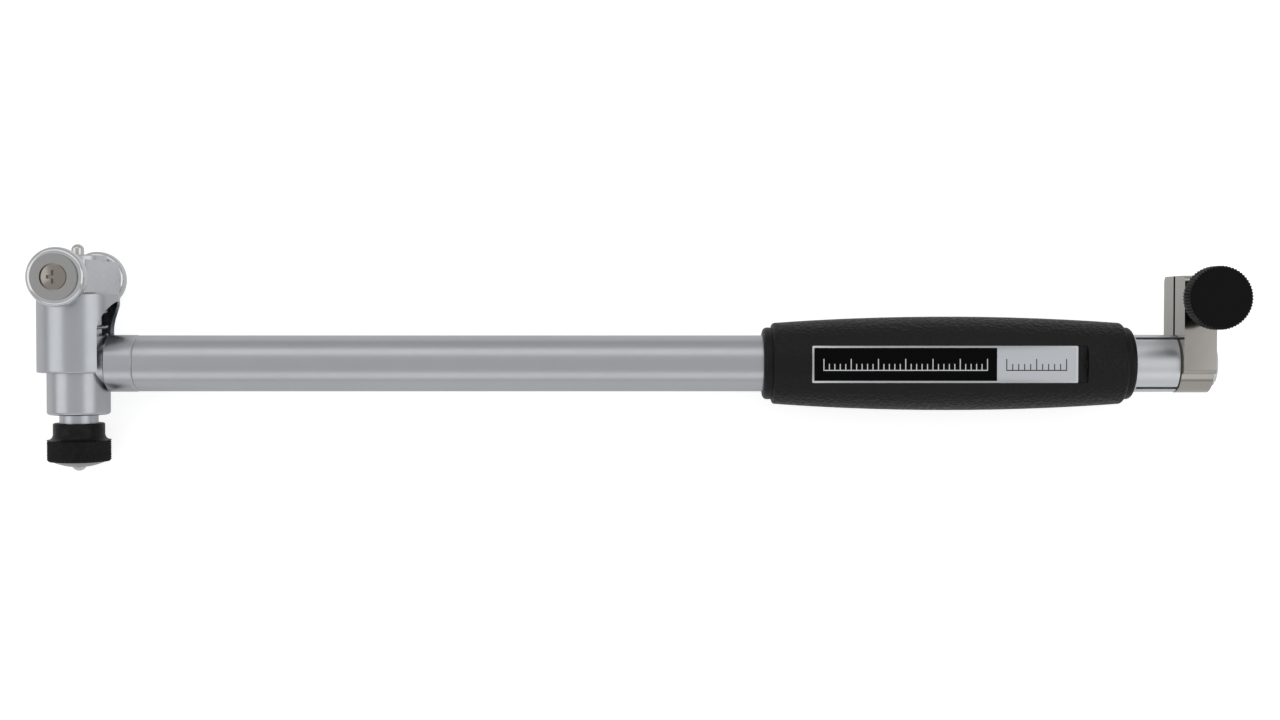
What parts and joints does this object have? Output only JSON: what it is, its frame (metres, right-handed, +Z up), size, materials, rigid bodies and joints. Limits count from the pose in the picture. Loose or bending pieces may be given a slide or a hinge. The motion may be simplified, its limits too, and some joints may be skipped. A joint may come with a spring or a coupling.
{
  "type": "dial bore gauge",
  "caption": "Bore gauge with a sprung contact, centring roller guide, bell-crank transfer, long gripped stem and a split collet with thumb clamp for a dial indicator.",
  "frame": {"origin": "on the stem axis at the mouth of the indicator collet", "axes": "+X along the stem, out of the collet towards the indicator; +Z up from the surface on which the gauge lies; the label faces up"},
  "size_m": [0.2634, 0.0518, 0.0397],
  "materials": {
    "head_chrome": "satin",
    "roller_chrome": "polished",
    "screw_nickel": "nickel plated",
    "inner_steel": "ground",
    "spring_steel": "drawn wire",
    "hard_metal": "lapped",
    "bush_bronze": "turned",
    "nut_black": "black oxide",
    "cap_steel": "turned",
    "stem_satin": "satin anodised",
    "grip_black": "grained",
    "label_face": "printed film",
    "collet_satin": "satin",
    "clamp_nickel": "polished nickel",
    "knob_black": "matt black"
  },
  "bodies": {
    "stem": {"head_body": "head_chrome", "crank_pin": "inner_steel", "guide_stop_screw": "screw_nickel", "stem_tube": "stem_satin", "rod_bush": "bush_bronze", "grip": "grip_black", "label_plate": "label_face", "indicator_collet": "collet_satin", "collet_clamp": "clamp_nickel", "guide_spring": "spring_steel", "rod_spring": "spring_steel"},
    "contact": {"contact_plunger": "head_chrome", "contact_point": "hard_metal"},
    "crank": {"bell_crank": "inner_steel"},
    "rod": {"push_rod": "inner_steel"},
    "guide": {"guide_sleeve": "head_chrome", "guide_bar": "head_chrome", "near_roller_hub": "roller_chrome", "far_roller_hub": "roller_chrome", "near_roller_screw": "screw_nickel", "far_roller_screw": "screw_nickel"},
    "near_wheel": {"near_roller": "roller_chrome"},
    "far_wheel": {"far_roller": "roller_chrome"},
    "anvil": {"anvil_nut": "nut_black", "anvil_cap": "cap_steel", "anvil_ball": "hard_metal"},
    "thumb_screw": {"clamp_knob": "knob_black", "clamp_screw": "inner_steel"}
  },
  "joints": [
    {"name": "contact_slide", "type": "slide", "parent": "stem", "child": "contact", "axis": [0, 0.9608, 0.2773], "range_m": [-0.0015, 0], "stiffness_N_per_m": 800, "springref_m": 0.004},
    {"name": "crank_turn", "type": "hinge", "parent": "stem", "child": "crank", "pos_m": [-0.249, 0.00327, 0.00094], "axis": [0, -0.2773, 0.9608], "range_deg": [0, 25.5]},
    {"name": "rod_slide", "type": "slide", "parent": "stem", "child": "rod", "axis": [1, 0, 0], "range_m": [0, 0.0015], "deforming": ["rod_spring"]},
    {"name": "guide_slide", "type": "slide", "parent": "stem", "child": "guide", "axis": [0, 0.9608, 0.2773], "range_m": [-0.0055, 0], "stiffness_N_per_m": 600, "springref_m": 0.004, "deforming": ["guide_spring"]},
    {"name": "near_roller_spin", "type": "hinge", "parent": "guide", "child": "near_wheel", "pos_m": [-0.2524, 0.01816, 0.00524], "axis": [0, -0.2773, 0.9608], "continuous": true},
    {"name": "far_roller_spin", "type": "hinge", "parent": "guide", "child": "far_wheel", "pos_m": [-0.2524, 0.01816, 0.00524], "axis": [0, -0.2773, 0.9608], "continuous": true},
    {"name": "anvil_turn", "type": "hinge", "parent": "stem", "child": "anvil", "pos_m": [-0.2524, 0, 0], "axis": [0, 0.9608, 0.2773], "range_deg": [0, 360]},
    {"name": "clamp_screw_turn", "type": "hinge", "parent": "stem", "child": "thumb_screw", "pos_m": [-0.0048, 0.01384, 0.00399], "axis": [0, -0.2773, 0.9608], "range_deg": [0, 360]}
  ],
  "couplings": [
    {"joint": "crank_turn", "follows": "contact_slide", "rad_per_m": -296.5},
    {"joint": "rod_slide", "follows": "contact_slide", "ratio": -1}
  ]
}
